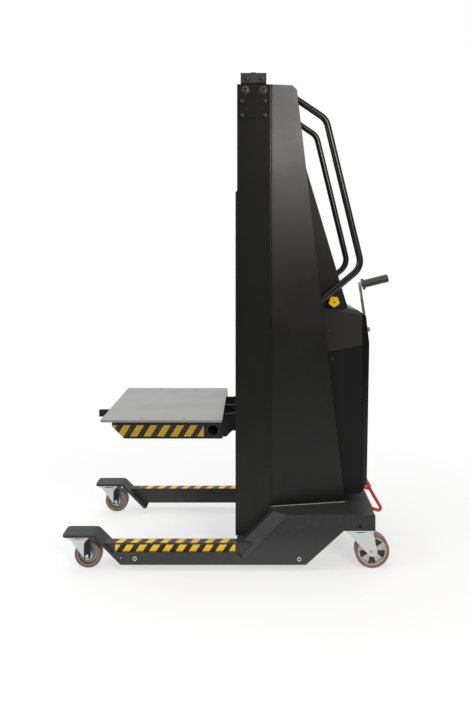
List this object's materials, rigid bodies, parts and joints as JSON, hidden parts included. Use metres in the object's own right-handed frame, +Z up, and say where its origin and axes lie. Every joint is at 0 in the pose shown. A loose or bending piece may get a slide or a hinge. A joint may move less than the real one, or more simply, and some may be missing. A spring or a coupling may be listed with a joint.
{
  "type": "server lift trolley",
  "caption": "Hand-cranked server lift trolley: low straddle legs on swivel casters, a tall mast with rear covers, and a level deck that rides up and down.",
  "frame": {"origin": "on the floor, under the middle of the trolley's overall length and width", "axes": "+Z up, +X towards the operator at the rear, -Y on the operator's left"},
  "size_m": [1.2388, 0.61, 1.82],
  "materials": {
    "black_paint": "fine textured satin powder coat",
    "post_aluminium": "black anodised",
    "zinc_steel": "bright zinc plate",
    "plain_steel": "oiled steel",
    "cast_wheel": "die cast",
    "caster_tread": "brown polyurethane",
    "deck_aluminium": "satin",
    "red_paint": "gloss",
    "yellow_plastic": "moulded",
    "grip_plastic": "moulded",
    "slide_plastic": "machined",
    "belt_rubber": "moulded",
    "gearbox_iron": "painted casting"
  },
  "bodies": {
    "base": {"left_leg_beam": "black_paint", "right_leg_beam": "black_paint", "left_gooseneck": "black_paint", "right_gooseneck": "black_paint", "left_leg_cover": "black_paint", "right_leg_cover": "black_paint", "base_front_beam": "black_paint", "base_rear_beam": "black_paint", "left_mast_post": "post_aluminium", "right_mast_post": "post_aluminium", "post_caps": "black_paint", "post_plates": "black_paint", "mast_top_beam": "black_paint", "lower_bearing_plates": "black_paint", "lift_belt": "belt_rubber", "transfer_belt": "belt_rubber", "gearbox_plate": "black_paint", "gearbox_housing": "gearbox_iron", "left_side_cover": "black_paint", "right_side_cover": "black_paint", "rear_spine_cover": "black_paint", "rear_panel": "black_paint", "control_box": "black_paint", "left_push_handle": "black_paint", "right_push_handle": "black_paint", "pedal_hinge_bracket": "black_paint", "left_front_caster_plate": "zinc_steel", "left_rear_caster_plate": "zinc_steel", "right_front_caster_plate": "zinc_steel", "right_rear_caster_plate": "zinc_steel"},
    "carriage": {"left_carriage_cheek": "black_paint", "right_carriage_cheek": "black_paint", "carriage_back_plate": "black_paint", "slide_pads": "slide_plastic", "belt_clamp": "plain_steel", "left_deck_arm": "black_paint", "right_deck_arm": "black_paint", "deck_cross_tube": "black_paint", "deck_middle_rib": "black_paint", "deck_plate": "deck_aluminium"},
    "crank": {"crank_arm": "plain_steel", "crank_shaft": "plain_steel"},
    "crank_grip": {"crank_grip": "grip_plastic"},
    "gearbox_output": {"gearbox_output_shaft": "plain_steel"},
    "drive_shaft": {"lower_drive_shaft": "plain_steel"},
    "top_idler": {"top_idler_pulley": "plain_steel"},
    "foot_pedal": {"foot_pedal": "red_paint"},
    "side_knob": {"side_knob": "yellow_plastic"},
    "left_front_caster": {"left_front_caster_fork": "zinc_steel"},
    "left_front_wheel": {"left_front_wheel_hub": "cast_wheel", "left_front_wheel_tread": "caster_tread"},
    "left_rear_caster": {"left_rear_caster_fork": "zinc_steel"},
    "left_rear_wheel": {"left_rear_wheel_hub": "cast_wheel", "left_rear_wheel_tread": "caster_tread"},
    "right_front_caster": {"right_front_caster_fork": "zinc_steel"},
    "right_front_wheel": {"right_front_wheel_hub": "cast_wheel", "right_front_wheel_tread": "caster_tread"},
    "right_rear_caster": {"right_rear_caster_fork": "zinc_steel"},
    "right_rear_wheel": {"right_rear_wheel_hub": "cast_wheel", "right_rear_wheel_tread": "caster_tread"}
  },
  "joints": [
    {"name": "lift", "type": "slide", "parent": "base", "child": "carriage", "axis": [0, 0, 1], "range_m": [-0.355, 1]},
    {"name": "drive_spin", "type": "hinge", "parent": "base", "child": "drive_shaft", "pos_m": [0.07956, 0, 0.19], "axis": [0, 1, 0], "range_deg": [-537, 1505]},
    {"name": "idler_spin", "type": "hinge", "parent": "base", "child": "top_idler", "pos_m": [0.07956, 0, 1.7], "axis": [0, 1, 0], "range_deg": [-537, 1505]},
    {"name": "output_spin", "type": "hinge", "parent": "base", "child": "gearbox_output", "pos_m": [0.19956, 0, 0.775], "axis": [0, 1, 0], "range_deg": [-537, 1505]},
    {"name": "crank_turn", "type": "hinge", "parent": "base", "child": "crank", "pos_m": [0.52956, 0, 0.835], "axis": [0.9703, 0, 0.2419], "range_deg": [-2135, 6005]},
    {"name": "grip_spin", "type": "hinge", "parent": "crank", "child": "crank_grip", "pos_m": [0.50251, 0, 1.01599], "axis": [0.9703, 0, 0.2419], "continuous": true},
    {"name": "pedal_press", "type": "hinge", "parent": "base", "child": "foot_pedal", "pos_m": [0.52456, 0, 0.158], "axis": [0, 1, 0], "range_deg": [0, 70]},
    {"name": "knob_turn", "type": "hinge", "parent": "base", "child": "side_knob", "pos_m": [0.37619, -0.15, 0.962], "axis": [0, 1, 0], "range_deg": [0, 90]},
    {"name": "left_front_swivel", "type": "hinge", "parent": "base", "child": "left_front_caster", "pos_m": [-0.56744, -0.262, 0.121], "axis": [0, 0, 1], "continuous": true},
    {"name": "left_front_roll", "type": "hinge", "parent": "left_front_caster", "child": "left_front_wheel", "pos_m": [-0.53244, -0.262, 0.05], "axis": [0, 1, 0], "continuous": true},
    {"name": "left_rear_swivel", "type": "hinge", "parent": "base", "child": "left_rear_caster", "pos_m": [0.45856, -0.262, 0.146], "axis": [0, 0, 1], "continuous": true},
    {"name": "left_rear_roll", "type": "hinge", "parent": "left_rear_caster", "child": "left_rear_wheel", "pos_m": [0.50256, -0.262, 0.0625], "axis": [0, 1, 0], "continuous": true},
    {"name": "right_front_swivel", "type": "hinge", "parent": "base", "child": "right_front_caster", "pos_m": [-0.56744, 0.262, 0.121], "axis": [0, 0, 1], "continuous": true},
    {"name": "right_front_roll", "type": "hinge", "parent": "right_front_caster", "child": "right_front_wheel", "pos_m": [-0.53244, 0.262, 0.05], "axis": [0, 1, 0], "continuous": true},
    {"name": "right_rear_swivel", "type": "hinge", "parent": "base", "child": "right_rear_caster", "pos_m": [0.45856, 0.262, 0.146], "axis": [0, 0, 1], "continuous": true},
    {"name": "right_rear_roll", "type": "hinge", "parent": "right_rear_caster", "child": "right_rear_wheel", "pos_m": [0.50256, 0.262, 0.0625], "axis": [0, 1, 0], "continuous": true}
  ],
  "couplings": [
    {"joint": "drive_spin", "follows": "lift", "rad_per_m": 26.178},
    {"joint": "idler_spin", "follows": "lift", "rad_per_m": 26.178},
    {"joint": "output_spin", "follows": "lift", "rad_per_m": 26.178},
    {"joint": "crank_turn", "follows": "lift", "rad_per_m": 104.71}
  ]
}
